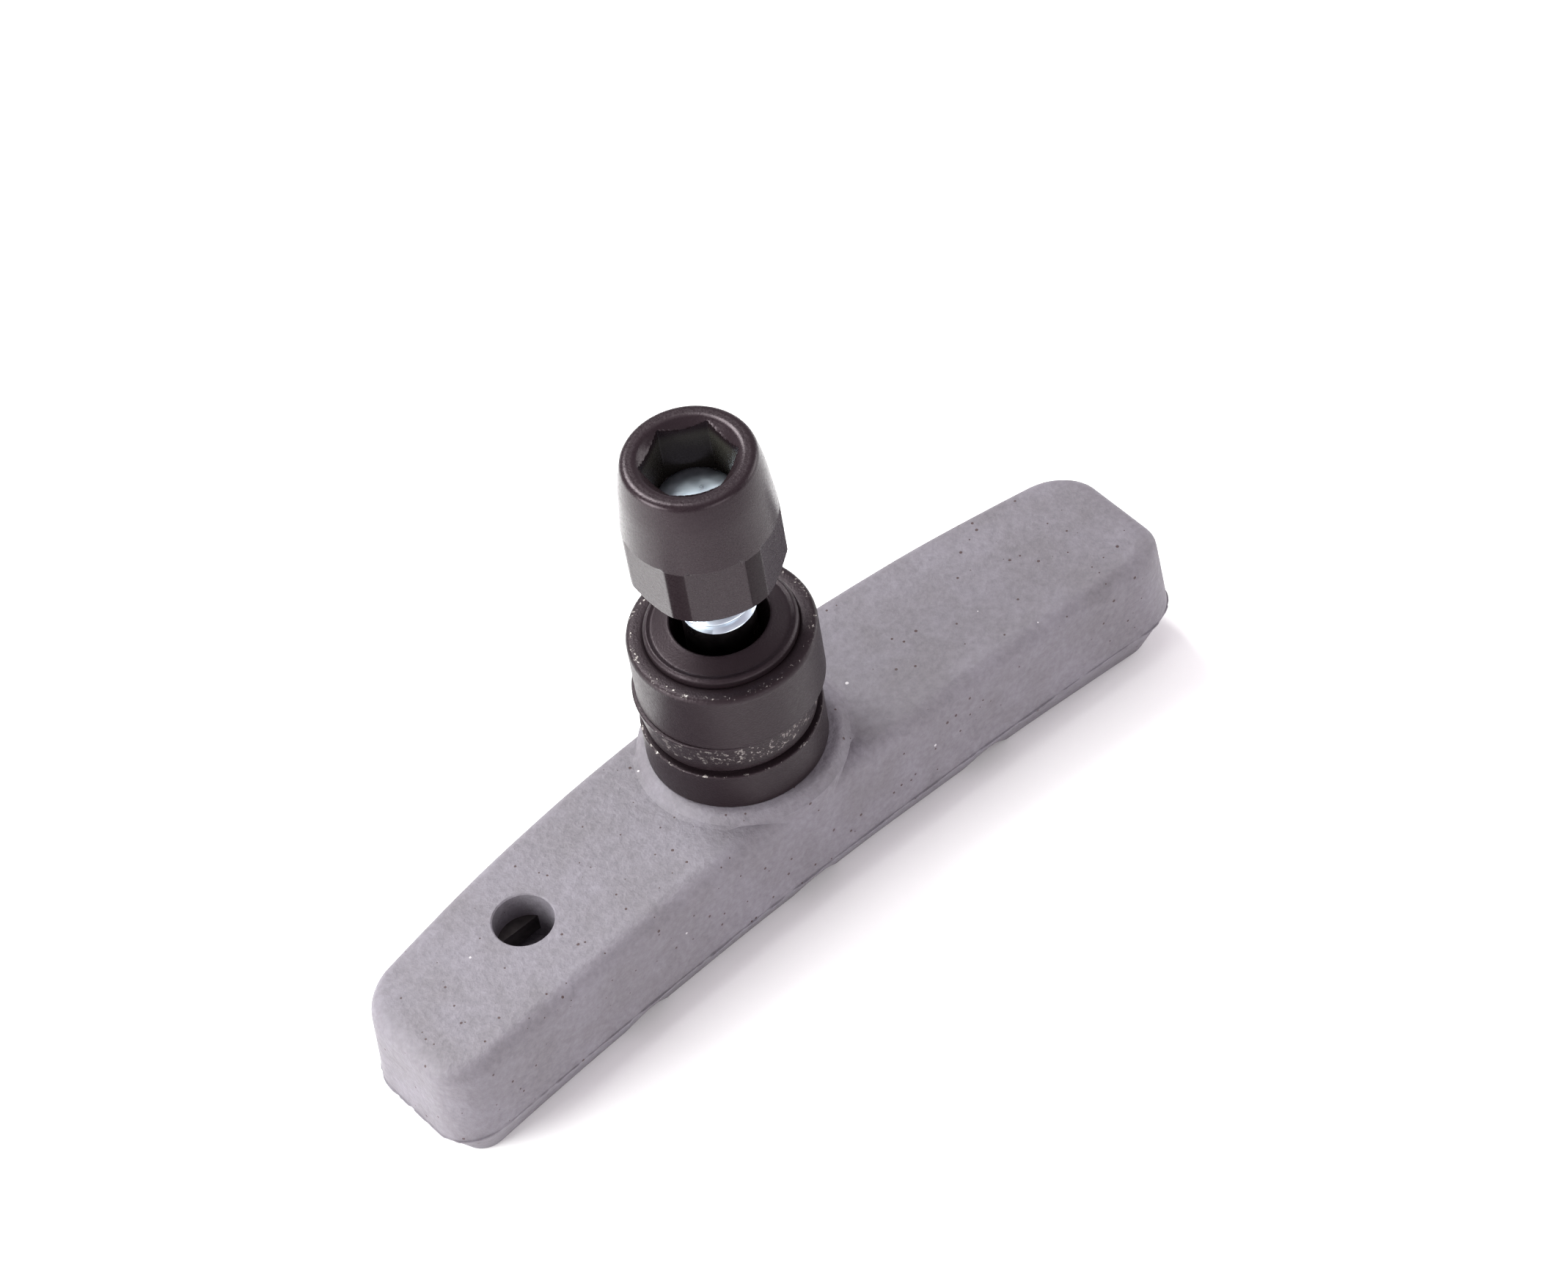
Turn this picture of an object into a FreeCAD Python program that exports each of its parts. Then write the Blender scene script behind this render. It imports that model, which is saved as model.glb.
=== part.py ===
import FreeCAD, Part
import math
import os
import Sketcher

os.makedirs("parts", exist_ok=True)
doc = FreeCAD.newDocument("brake_pad")

# every driving size in mm, angles in degrees; heights are measured from the braking face
sheet = doc.addObject("Spreadsheet::Sheet", "Sizes")
sizes = [
    ("pad_half", "35", "half the length of the rubber pad at its parting line"),
    ("near_half", "8", "stud axis to the hollow long edge, at mid-length"),
    ("far_half", "7.1", "stud axis to the bowed long edge, at mid-length"),
    ("near_bow", "474", "radius of the hollow long edge"),
    ("far_bow", "140", "radius of the bowed long edge"),
    ("corner_r", "4", "radius of the four corners in plan"),
    ("flash_out", "0.22", "width of the moulding flash"),
    ("flash_thick", "0.16", "thickness of the moulding flash"),
    ("flash_z", "4.2", "height of the parting line"),
    ("back_z", "11.7", "height of the flat back face"),
    ("back_draft", "3.5", "lean of the side walls above the parting line"),
    ("face_draft", "28", "lean of the sides below the parting line"),
    ("back_round", "1.3", "rounding of the back face's edge"),
    ("boss_top_r", "7.15", "top radius of the round boss"),
    ("boss_base_r", "7.85", "radius of the boss where it meets the back face"),
    ("boss_high", "0.8", "height of the boss above the back face"),
    ("cross_gap", "16.6", "spacing of the cross grooves"),
    ("cross_wide", "5.2", "width of a cross groove at the braking face"),
    ("cross_floor", "1.6", "width of a cross groove at its floor"),
    ("cross_deep", "2.2", "depth of a cross groove"),
    ("pin_x", "-21.6", "blind hole along the pad, from the stud axis"),
    ("pin_y", "-0.9", "blind hole across the pad, from the stud axis"),
    ("pin_r", "2.27", "radius of the blind hole"),
    ("pin_deep", "2.5", "depth of the blind hole down to the steel plate"),
    ("pin_more", "2.4", "further depth beside the plate"),
    ("plate_half", "26", "half the length of the steel plate"),
    ("plate_cover", "0.9", "rubber between the plate's corners and the bowed edge"),
    ("plate_near_cover", "3.2", "rubber between the plate and the hollow edge"),
    ("plate_thick", "1.5", "thickness of the steel plate"),
    ("notch_edge", "0.35", "edge of the plate beside the blind hole, from the stud axis"),
    ("notch_half", "3.4", "half the length of the plate's notch"),
    ("stud_r", "3", "radius of the stud's thread"),
    ("shank_r", "2.65", "radius of the stud's plain shank"),
    ("thread_up", "1.5", "start of the thread above the washers"),
    ("stud_head_r", "5", "radius of the stud's flat head under the plate"),
    ("stud_head_thick", "1", "thickness of the stud's head"),
    ("stud_out", "13", "domed end of the stud above the washers"),
    ("stud_dome", "0.45", "height of the stud's domed end"),
    ("stud_lead", "0.35", "chamfer at the stud's end"),
    ("bore_r", "3.6", "radius of the washers' holes"),
    ("seat_r", "10", "radius of the ball seats"),
    ("lower_cup_r", "6.7", "outer radius of the lower hollow washer"),
    ("lower_cup_high", "3.5", "height of the lower hollow washer"),
    ("lower_seat_r", "5.95", "edge radius of its seat"),
    ("lower_dome_r", "6.85", "outer radius of the lower domed washer at its flat top"),
    ("lower_dome_foot", "6.3", "its radius where the dome begins"),
    ("lower_dome_high", "3.4", "flat top of the domed washer above the rim below"),
    ("tall_cup_r", "6.9", "outer radius of the tall hollow washer"),
    ("tall_cup_high", "5.4", "height of the tall hollow washer"),
    ("tall_cup_round", "0.35", "rounding of its top edge"),
    ("upper_seat_r", "5.75", "edge radius of the tall washer's seat"),
    ("upper_dome_r", "5.6", "outer radius of the upper domed washer"),
    ("upper_ridge", "0.65", "ridge of the upper domed washer above the tall one"),
    ("upper_lip", "1.2", "hole edge of the upper domed washer above the tall one"),
    ("drift_x", "-0.3", "sideways play of the two lower washers, along the pad"),
    ("drift_y", "0.2", "sideways play of the two lower washers, across the pad"),
    ("nut_up", "5.6", "gap between the washers and the nut"),
    ("nut_r", "5.15", "radius of the nut's barrel below its top rounding"),
    ("nut_corner_r", "5.6", "radius of the nut's lower half, over the corners of its flats"),
    ("nut_high", "11.6", "height of the barrel nut"),
    ("nut_rim_r", "4.75", "outer radius of the nut's top rim"),
    ("nut_mouth_r", "3.75", "inner radius of the nut's top rim"),
    ("nut_round", "1.5", "height of the rounding under the top rim"),
    ("nut_foot", "0.5", "chamfer at the nut's foot"),
    ("flats_wide", "10.35", "width across the nut's flats"),
    ("flats_high", "5.4", "height of the nut's flats"),
    ("socket_wide", "6.1", "width across the nut's hexagon socket"),
    ("socket_deep", "5.2", "depth of the hexagon socket"),
    ("flats_turn", "31", "turn of the nut's flats from the pad's length"),
    ("socket_turn", "28.5", "turn of the hexagon socket from the pad's length"),
    ("row_y", "0.61", "stud axis from the middle of the part, across the pad"),
    # sizes that follow from the ones above
    ("boss_z", "=back_z + boss_high", "top of the boss"),
    ("boss_foot_r", "=boss_base_r + 0.15", "boss column at the parting line"),
    ("plate_top", "=back_z - pin_deep", "top of the steel plate"),
    ("plate_low", "=plate_top - plate_thick", "underside of the steel plate"),
    ("plate_sag", "=far_bow - sqrt(far_bow^2 - plate_half^2)", "bow of the far edge at the plate's ends"),
    ("plate_far", "=far_half - plate_sag - plate_cover", "far edge of the plate, from the stud axis"),
    ("plate_near", "=near_half - plate_near_cover", "near edge of the plate, from the stud axis"),
    ("head_low", "=plate_low - stud_head_thick", "underside of the stud's head"),
    ("cup_z", "=boss_z + lower_cup_high", "rim of the lower hollow washer"),
    ("lower_ball_z", "=cup_z + sqrt(seat_r^2 - lower_seat_r^2)", "centre of the lower ball seat"),
    ("lower_hole_z", "=lower_ball_z - sqrt(seat_r^2 - bore_r^2)", "lower seat at the hole"),
    ("lower_foot_z", "=lower_ball_z - sqrt(seat_r^2 - lower_dome_foot^2)", "where the dome begins"),
    ("dome_z", "=cup_z + lower_dome_high", "flat top of the lower domed washer"),
    ("tall_z", "=dome_z + tall_cup_high", "top of the tall hollow washer"),
    ("tall_edge_z", "=tall_z - tall_cup_round", "start of the top rounding"),
    ("tall_edge_r", "=tall_cup_r - tall_cup_round", "end of the top rounding"),
    ("upper_ball_z", "=tall_z + sqrt(seat_r^2 - upper_seat_r^2)", "centre of the upper ball seat"),
    ("upper_hole_z", "=upper_ball_z - sqrt(seat_r^2 - bore_r^2)", "upper seat at the hole"),
    ("upper_foot_z", "=upper_ball_z - sqrt(seat_r^2 - upper_dome_r^2)", "upper dome at its edge"),
    ("ridge_z", "=tall_z + upper_ridge", "ridge of the upper domed washer"),
    ("ridge_low_z", "=ridge_z - 0.25", "outer start of the ridge"),
    ("ridge_out_r", "=upper_dome_r - 0.25", "crest of the ridge"),
    ("ridge_in_r", "=upper_dome_r - 0.6", "inner foot of the ridge"),
    ("ridge_in_z", "=ridge_z - 0.1", "inner foot of the ridge"),
    ("lip_z", "=tall_z + upper_lip", "hole edge of the upper domed washer"),
    ("lip_low_z", "=lip_z - 0.15", "hole edge chamfer"),
    ("lip_r", "=bore_r + 0.15", "hole edge chamfer"),
    ("nut_z", "=lip_z + nut_up", "foot of the nut"),
    ("nut_foot_z", "=nut_z + nut_foot", "top of the foot chamfer"),
    ("nut_foot_r", "=nut_corner_r - nut_foot", "foot face of the nut"),
    ("flats_z", "=nut_z + flats_high", "top of the nut's hexagon"),
    ("nut_top_z", "=nut_z + nut_high", "top of the nut"),
    ("nut_side_z", "=nut_top_z - nut_round", "start of the top rounding"),
    ("nut_rim_z", "=nut_top_z - 0.2", "outer edge of the top rim"),
    ("nut_crest_r", "=(nut_rim_r + nut_mouth_r) / 2", "crest of the top rim"),
    ("nut_mouth_z", "=nut_top_z - 0.25", "inner edge of the top rim"),
    ("nut_throat_z", "=nut_mouth_z - (nut_mouth_r - stud_r) * 0.8", "end of the mouth chamfer"),
    ("nut_edge_r", "=nut_r - 0.12", "middle of the top rounding"),
    ("nut_edge_z", "=nut_side_z + nut_round * 0.55", "middle of the top rounding"),
    ("stud_top_z", "=lip_z + stud_out", "domed end of the stud"),
    ("thread_z", "=lip_z + thread_up", "start of the thread"),
    ("stud_rim_z", "=stud_top_z - stud_dome", "edge of the dome"),
    ("stud_rim_r", "=stud_r - stud_lead", "edge of the dome"),
    ("stud_lead_z", "=stud_rim_z - stud_lead", "start of the end chamfer"),
    ("dome_r", "=(stud_rim_r^2 + stud_dome^2) / (2 * stud_dome)", "radius of the domed end"),
    ("zero", "0", "the axis"),
]
for row, (alias, content, note) in enumerate(sizes, start=1):
    sheet.set("A%d" % row, alias)
    sheet.set("B%d" % row, content)
    sheet.set("C%d" % row, note)
    sheet.setAlias("B%d" % row, alias)
doc.recompute()


def size(alias):
    return float(sheet.get(alias))


def place(thing, x="zero", y="row_y", z="zero"):
    thing.setExpression("Placement.Base.x", "Sizes." + x)
    thing.setExpression("Placement.Base.y", "Sizes." + y)
    thing.setExpression("Placement.Base.z", "Sizes." + z)


def newBody(name):
    return doc.addObject("PartDesign::Body", name)


def originPlane(body, role):
    for feature in body.Origin.OriginFeatures:
        if feature.Role == role:
            return feature


def newSketch(body, name, role):
    sketch = body.newObject("Sketcher::SketchObject", name)
    sketch.AttachmentSupport = [(originPlane(body, role), "")]
    sketch.MapMode = "FlatFace"
    return sketch


def hold(sketch, kind, *args):
    # last of args is the expression that drives the size
    *rest, start, rule = args
    index = sketch.addConstraint(Sketcher.Constraint(kind, *rest, start))
    sketch.setExpression("Constraints[%d]" % index, rule)


def arcBetween(start, end, radius, side):
    # arc from start to end whose centre lies left (side 1) or right (side -1) of the way
    midX = (start[0] + end[0]) / 2
    midY = (start[1] + end[1]) / 2
    dx = end[0] - start[0]
    dy = end[1] - start[1]
    chord = math.hypot(dx, dy)
    rise = math.sqrt(max(radius ** 2 - chord ** 2 / 4, 1e-9))
    centreX = midX - side * rise * dy / chord
    centreY = midY + side * rise * dx / chord
    first = math.atan2(start[1] - centreY, start[0] - centreX)
    last = math.atan2(end[1] - centreY, end[0] - centreX)
    if side < 0:
        first, last = last, first
    if last < first:
        last += 2 * math.pi
    circle = Part.Circle(FreeCAD.Vector(centreX, centreY, 0), FreeCAD.Vector(0, 0, 1), radius)
    return Part.ArcOfCircle(circle, first, last)


def profile(sketch, corners):
    # corners: (radius alias, height alias, None or (arc radius alias, side)) for the edge that follows
    spots = [(size(c[0]), size(c[1])) for c in corners]
    count = len(corners)
    ends = []
    for k in range(count):
        a = spots[k]
        b = spots[(k + 1) % count]
        bend = corners[k][2]
        if bend is None:
            line = Part.LineSegment(FreeCAD.Vector(a[0], a[1], 0), FreeCAD.Vector(b[0], b[1], 0))
            sketch.addGeometry(line, False)
            ends.append((1, 2))
        else:
            sketch.addGeometry(arcBetween(a, b, size(bend[0]), bend[1]), False)
            ends.append((1, 2) if bend[1] > 0 else (2, 1))
    for k in range(count):
        after = (k + 1) % count
        sketch.addConstraint(Sketcher.Constraint("Coincident", k, ends[k][1], after, ends[after][0]))
    for k in range(count):
        if spots[k][0] == 0:
            sketch.addConstraint(Sketcher.Constraint("PointOnObject", k, ends[k][0], -2))
        else:
            hold(sketch, "DistanceX", -1, 1, k, ends[k][0], spots[k][0], "Sizes." + corners[k][0])
        hold(sketch, "DistanceY", -1, 1, k, ends[k][0], spots[k][1], "Sizes." + corners[k][1])
        if corners[k][2] is not None:
            hold(sketch, "Radius", k, size(corners[k][2][0]), "Sizes." + corners[k][2][0])


def turned(body, name, corners):
    sketch = newSketch(body, name + "_profile", "XZ_Plane")
    profile(sketch, corners)
    doc.recompute()
    spin = body.newObject("PartDesign::Revolution", name + "_turn")
    spin.Profile = sketch
    spin.ReferenceAxis = (sketch, ["V_Axis"])
    spin.Angle = 360
    sketch.Visibility = False
    doc.recompute()
    return spin


def outline(sketch, grow):
    # closed plan of the pad: hollow edge, bowed edge, straight ends and four tangent corners
    extra = size(grow)
    half = size("pad_half") + extra
    corner = size("corner_r") + extra
    nearR = size("near_bow") - extra
    farR = size("far_bow") + extra
    nearY = -size("near_half") - size("near_bow")
    farY = size("far_half") - size("far_bow")
    nearCorner = nearY + math.sqrt((nearR + corner) ** 2 - (half - corner) ** 2)
    farCorner = farY + math.sqrt((farR - corner) ** 2 - (half - corner) ** 2)
    share = nearR / (nearR + corner)
    nearX = (half - corner) * share
    nearTouch = nearY + (nearCorner - nearY) * share
    share = farR / (farR - corner)
    farX = (half - corner) * share
    farTouch = farY + (farCorner - farY) * share
    spots = [
        (-nearX, nearTouch), (nearX, nearTouch), (half, nearCorner), (half, farCorner),
        (farX, farTouch), (-farX, farTouch), (-half, farCorner), (-half, nearCorner),
    ]
    bends = [(nearR, -1), (corner, 1), None, (corner, 1), (farR, 1), (corner, 1), None, (corner, 1)]
    ends = []
    for k in range(8):
        a = spots[k]
        b = spots[(k + 1) % 8]
        if bends[k] is None:
            line = Part.LineSegment(FreeCAD.Vector(a[0], a[1], 0), FreeCAD.Vector(b[0], b[1], 0))
            sketch.addGeometry(line, False)
            ends.append((1, 2))
        else:
            sketch.addGeometry(arcBetween(a, b, bends[k][0], bends[k][1]), False)
            ends.append((1, 2) if bends[k][1] > 0 else (2, 1))
    for k in range(8):
        after = (k + 1) % 8
        sketch.addConstraint(Sketcher.Constraint("Tangent", k, ends[k][1], after, ends[after][0]))
    sketch.addConstraint(Sketcher.Constraint("Vertical", 2))
    sketch.addConstraint(Sketcher.Constraint("Vertical", 6))
    sketch.addConstraint(Sketcher.Constraint("PointOnObject", 0, 3, -2))
    sketch.addConstraint(Sketcher.Constraint("PointOnObject", 4, 3, -2))
    hold(sketch, "DistanceX", -1, 1, 2, 1, half, "Sizes.pad_half + Sizes." + grow)
    hold(sketch, "DistanceX", 6, 1, -1, 1, half, "Sizes.pad_half + Sizes." + grow)
    hold(sketch, "DistanceY", 0, 3, -1, 1, -nearY, "Sizes.near_half + Sizes.near_bow")
    hold(sketch, "DistanceY", 4, 3, -1, 1, -farY, "Sizes.far_bow - Sizes.far_half")
    hold(sketch, "Radius", 0, nearR, "Sizes.near_bow - Sizes." + grow)
    hold(sketch, "Radius", 4, farR, "Sizes.far_bow + Sizes." + grow)
    for k in (1, 3, 5, 7):
        hold(sketch, "Radius", k, corner, "Sizes.corner_r + Sizes." + grow)


# rubber pad: one plan drawn at the parting line, padded up and down with leaning sides
blank = newBody("pad_blank")
plan = newSketch(blank, "pad_plan", "XY_Plane")
plan.setExpression("AttachmentOffset.Base.z", "Sizes.flash_z")
outline(plan, "zero")
doc.recompute()
upper = blank.newObject("PartDesign::Pad", "pad_back_half")
upper.Profile = plan
upper.setExpression("Length", "Sizes.back_z - Sizes.flash_z")
upper.setExpression("TaperAngle", "-Sizes.back_draft")
doc.recompute()
topEdges = []
for number, edge in enumerate(upper.Shape.Edges, start=1):
    if all(abs(v.Point.z - size("back_z")) < 1e-4 for v in edge.Vertexes):
        topEdges.append("Edge%d" % number)
rounding = blank.newObject("PartDesign::Fillet", "back_edge_rounding")
rounding.Base = (upper, topEdges)
rounding.setExpression("Radius", "Sizes.back_round")
doc.recompute()
lowerPlan = newSketch(blank, "face_plan", "XY_Plane")
lowerPlan.setExpression("AttachmentOffset.Base.z", "Sizes.flash_z")
outline(lowerPlan, "zero")
doc.recompute()
lower = blank.newObject("PartDesign::Pad", "pad_face_half")
lower.Profile = lowerPlan
lower.Reversed = True
lower.setExpression("Length", "Sizes.flash_z")
lower.setExpression("TaperAngle", "-Sizes.face_draft")
doc.recompute()
flashPlan = newSketch(blank, "flash_plan", "XY_Plane")
flashPlan.setExpression("AttachmentOffset.Base.z", "Sizes.flash_z")
outline(flashPlan, "flash_out")
doc.recompute()
flash = blank.newObject("PartDesign::Pad", "moulding_flash")
flash.Profile = flashPlan
flash.Midplane = True
flash.setExpression("Length", "Sizes.flash_thick")
doc.recompute()
turned(blank, "boss", [
    ("zero", "flash_z", None),
    ("boss_foot_r", "flash_z", None),
    ("boss_base_r", "back_z", None),
    ("boss_top_r", "boss_z", None),
    ("zero", "boss_z", None),
])

# three cross grooves in the braking face, one at the middle and one to each side
cross = newSketch(blank, "cross_profile", "XZ_Plane")
wide = size("cross_wide") / 2
floor = size("cross_floor") / 2
deep = size("cross_deep")
spots = [(-wide, -0.5), (wide, -0.5), (wide, 0), (floor, deep), (-floor, deep), (-wide, 0)]
for k in range(6):
    a = spots[k]
    b = spots[(k + 1) % 6]
    cross.addGeometry(Part.LineSegment(FreeCAD.Vector(a[0], a[1], 0), FreeCAD.Vector(b[0], b[1], 0)), False)
for k in range(6):
    cross.addConstraint(Sketcher.Constraint("Coincident", k, 2, (k + 1) % 6, 1))
cross.addConstraint(Sketcher.Constraint("Symmetric", 2, 1, 5, 1, -1, 1))
cross.addConstraint(Sketcher.Constraint("Symmetric", 3, 1, 3, 2, -2))
cross.addConstraint(Sketcher.Constraint("Vertical", 1))
cross.addConstraint(Sketcher.Constraint("Vertical", 5))
cross.addConstraint(Sketcher.Constraint("Horizontal", 0))
cross.addConstraint(Sketcher.Constraint("PointOnObject", 2, 1, -1))
hold(cross, "DistanceX", -1, 1, 2, 1, wide, "Sizes.cross_wide / 2")
hold(cross, "DistanceX", -1, 1, 3, 1, floor, "Sizes.cross_floor / 2")
hold(cross, "DistanceY", -1, 1, 3, 1, deep, "Sizes.cross_deep")
cross.addConstraint(Sketcher.Constraint("DistanceY", 0, 1, -1, 1, 0.5))
doc.recompute()
groove = blank.newObject("PartDesign::Pocket", "cross_groove")
groove.Profile = cross
groove.Type = "ThroughAll"
groove.Midplane = True
doc.recompute()
pattern = blank.newObject("PartDesign::LinearPattern", "cross_grooves_right")
pattern.Originals = [groove]
pattern.Direction = (cross, ["H_Axis"])
pattern.Occurrences = 2
pattern.setExpression("Length", "Sizes.cross_gap")
blank.Tip = pattern
doc.recompute()
mirror = blank.newObject("PartDesign::LinearPattern", "cross_grooves_left")
mirror.Originals = [groove]
mirror.Direction = (cross, ["H_Axis"])
mirror.Reversed = True
mirror.Occurrences = 2
mirror.setExpression("Length", "Sizes.cross_gap")
blank.Tip = mirror
place(blank)
doc.recompute()

# steel plate inside the rubber, notched beside the blind hole
plateBar = doc.addObject("Part::Box", "plate_bar")
plateBar.setExpression("Length", "2 * Sizes.plate_half")
plateBar.setExpression("Width", "Sizes.plate_far + Sizes.plate_near")
plateBar.setExpression("Height", "Sizes.plate_thick")
plateBar.setExpression("Placement.Base.x", "-Sizes.plate_half")
plateBar.setExpression("Placement.Base.y", "Sizes.row_y - Sizes.plate_near")
plateBar.setExpression("Placement.Base.z", "Sizes.plate_low")
notch = doc.addObject("Part::Box", "plate_notch")
notch.setExpression("Length", "2 * Sizes.notch_half")
notch.setExpression("Width", "Sizes.plate_near + Sizes.notch_edge")
notch.setExpression("Height", "Sizes.plate_thick + 2")
notch.setExpression("Placement.Base.x", "Sizes.pin_x - Sizes.notch_half")
notch.setExpression("Placement.Base.y", "Sizes.row_y - Sizes.plate_near")
notch.setExpression("Placement.Base.z", "Sizes.plate_low - 1")
plateHole = doc.addObject("Part::Cylinder", "plate_hole")
plateHole.setExpression("Radius", "Sizes.shank_r")
plateHole.setExpression("Height", "Sizes.plate_thick + 2")
place(plateHole, z="plate_low")
plateHole.setExpression("Placement.Base.z", "Sizes.plate_low - 1")
plateCut = doc.addObject("Part::Cut", "plate_notched")
plateCut.Base = plateBar
plateCut.Tool = notch
plate = doc.addObject("Part::Cut", "backing_plate")
plate.Base = plateCut
plate.Tool = plateHole
plate.Label = "backing_plate"
doc.recompute()

# threaded stud with a flat head under the plate and a domed end
stud = newBody("stud")
turned(stud, "stud", [
    ("zero", "head_low", None),
    ("stud_head_r", "head_low", None),
    ("stud_head_r", "plate_low", None),
    ("shank_r", "plate_low", None),
    ("shank_r", "thread_z", None),
    ("stud_r", "thread_z", None),
    ("stud_r", "stud_lead_z", None),
    ("stud_rim_r", "stud_rim_z", ("dome_r", 1)),
    ("zero", "stud_top_z", None),
])
stud.Label = "stud"
place(stud)

# blind hole in the back: full round down to the plate, deeper beside it
pin = doc.addObject("Part::Cylinder", "pin_hole")
pin.setExpression("Radius", "Sizes.pin_r")
pin.setExpression("Height", "Sizes.pin_deep + 1")
pin.setExpression("Placement.Base.x", "Sizes.pin_x")
pin.setExpression("Placement.Base.y", "Sizes.row_y + Sizes.pin_y")
pin.setExpression("Placement.Base.z", "Sizes.plate_top")
deepPin = doc.addObject("Part::Cylinder", "pin_hole_deep")
deepPin.setExpression("Radius", "Sizes.pin_r")
deepPin.setExpression("Height", "Sizes.pin_more + 0.5")
deepPin.setExpression("Placement.Base.x", "Sizes.pin_x")
deepPin.setExpression("Placement.Base.y", "Sizes.row_y + Sizes.pin_y")
deepPin.setExpression("Placement.Base.z", "Sizes.plate_top - Sizes.pin_more")
beside = doc.addObject("Part::Box", "pin_beside_plate")
beside.setExpression("Length", "4 * Sizes.pin_r")
beside.setExpression("Width", "4 * Sizes.pin_r")
beside.setExpression("Height", "Sizes.pin_more + 2")
beside.setExpression("Placement.Base.x", "Sizes.pin_x - 2 * Sizes.pin_r")
beside.setExpression("Placement.Base.y", "Sizes.row_y + Sizes.notch_edge - 4 * Sizes.pin_r")
beside.setExpression("Placement.Base.z", "Sizes.plate_top - Sizes.pin_more - 1")
deepCut = doc.addObject("Part::Common", "pin_deeper")
deepCut.Base = deepPin
deepCut.Tool = beside
pinWhole = doc.addObject("Part::Fuse", "pin_whole")
pinWhole.Base = pin
pinWhole.Tool = deepCut
plateRoom = doc.addObject("Part::Cut", "pad_with_plate_room")
plateRoom.Base = blank
plateRoom.Tool = plate
studRoom = doc.addObject("Part::Cut", "pad_with_stud_room")
studRoom.Base = plateRoom
studRoom.Tool = stud
rubber = doc.addObject("Part::Cut", "rubber_pad")
rubber.Base = studRoom
rubber.Tool = pinWhole
rubber.Label = "rubber_pad"
doc.recompute()

# washers, from the boss upwards
lowerCup = newBody("lower_cup_washer")
turned(lowerCup, "lower_cup", [
    ("bore_r", "boss_z", None),
    ("lower_cup_r", "boss_z", None),
    ("lower_cup_r", "cup_z", None),
    ("lower_seat_r", "cup_z", ("seat_r", -1)),
    ("bore_r", "lower_hole_z", None),
])
lowerCup.Label = "lower_cup_washer"
place(lowerCup, "drift_x")
lowerCup.setExpression("Placement.Base.y", "Sizes.row_y + Sizes.drift_y")

lowerDome = newBody("lower_dome_washer")
turned(lowerDome, "lower_dome", [
    ("bore_r", "lower_hole_z", ("seat_r", 1)),
    ("lower_dome_foot", "lower_foot_z", None),
    ("lower_dome_r", "dome_z", None),
    ("bore_r", "dome_z", None),
])
lowerDome.Label = "lower_dome_washer"
place(lowerDome, "drift_x")
lowerDome.setExpression("Placement.Base.y", "Sizes.row_y + Sizes.drift_y")

tallCup = newBody("tall_cup_washer")
turned(tallCup, "tall_cup", [
    ("bore_r", "dome_z", None),
    ("tall_cup_r", "dome_z", None),
    ("tall_cup_r", "tall_edge_z", ("tall_cup_round", 1)),
    ("tall_edge_r", "tall_z", None),
    ("upper_seat_r", "tall_z", ("seat_r", -1)),
    ("bore_r", "upper_hole_z", None),
])
tallCup.Label = "tall_cup_washer"
place(tallCup)

upperDome = newBody("upper_dome_washer")
turned(upperDome, "upper_dome", [
    ("bore_r", "upper_hole_z", ("seat_r", 1)),
    ("upper_dome_r", "upper_foot_z", None),
    ("upper_dome_r", "ridge_low_z", None),
    ("ridge_out_r", "ridge_z", None),
    ("ridge_in_r", "ridge_in_z", None),
    ("lip_r", "lip_z", None),
    ("bore_r", "lip_low_z", None),
])
upperDome.Label = "upper_dome_washer"
place(upperDome)

# barrel nut: turned body, flats round its lower half, hexagon socket in its top
nutBody = newBody("nut_turned")
turned(nutBody, "nut", [
    ("stud_r", "nut_z", None),
    ("nut_foot_r", "nut_z", None),
    ("nut_corner_r", "nut_foot_z", None),
    ("nut_corner_r", "flats_z", None),
    ("nut_r", "nut_side_z", None),
    ("nut_edge_r", "nut_edge_z", None),
    ("nut_rim_r", "nut_rim_z", None),
    ("nut_crest_r", "nut_top_z", None),
    ("nut_mouth_r", "nut_mouth_z", None),
    ("stud_r", "nut_throat_z", None),
])
place(nutBody)
flatsRound = doc.addObject("Part::Cylinder", "flats_round")
flatsRound.setExpression("Radius", "Sizes.nut_r + 2")
flatsRound.setExpression("Height", "Sizes.flats_high + 1")
flatsRound.setExpression("Placement.Base.y", "Sizes.row_y")
flatsRound.setExpression("Placement.Base.z", "Sizes.nut_z - 1")
flatsHex = doc.addObject("Part::Prism", "flats_hexagon")
flatsHex.Polygon = 6
flatsHex.setExpression("Circumradius", "Sizes.flats_wide / sqrt(3)")
flatsHex.setExpression("Height", "Sizes.flats_high + 3")
turn = FreeCAD.Rotation(FreeCAD.Vector(0, 0, 1), size("flats_turn"))
flatsHex.Placement = FreeCAD.Placement(FreeCAD.Vector(0, 0, 0), turn)
flatsHex.setExpression("Placement.Rotation.Angle", "Sizes.flats_turn")
flatsHex.setExpression("Placement.Base.y", "Sizes.row_y")
flatsHex.setExpression("Placement.Base.z", "Sizes.nut_z - 2")
flatsRing = doc.addObject("Part::Cut", "flats_ring")
flatsRing.Base = flatsRound
flatsRing.Tool = flatsHex
nutFlats = doc.addObject("Part::Cut", "nut_with_flats")
nutFlats.Base = nutBody
nutFlats.Tool = flatsRing
socketHex = doc.addObject("Part::Prism", "socket_hexagon")
socketHex.Polygon = 6
socketHex.setExpression("Circumradius", "Sizes.socket_wide / sqrt(3)")
socketHex.setExpression("Height", "Sizes.socket_deep + 1")
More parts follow.
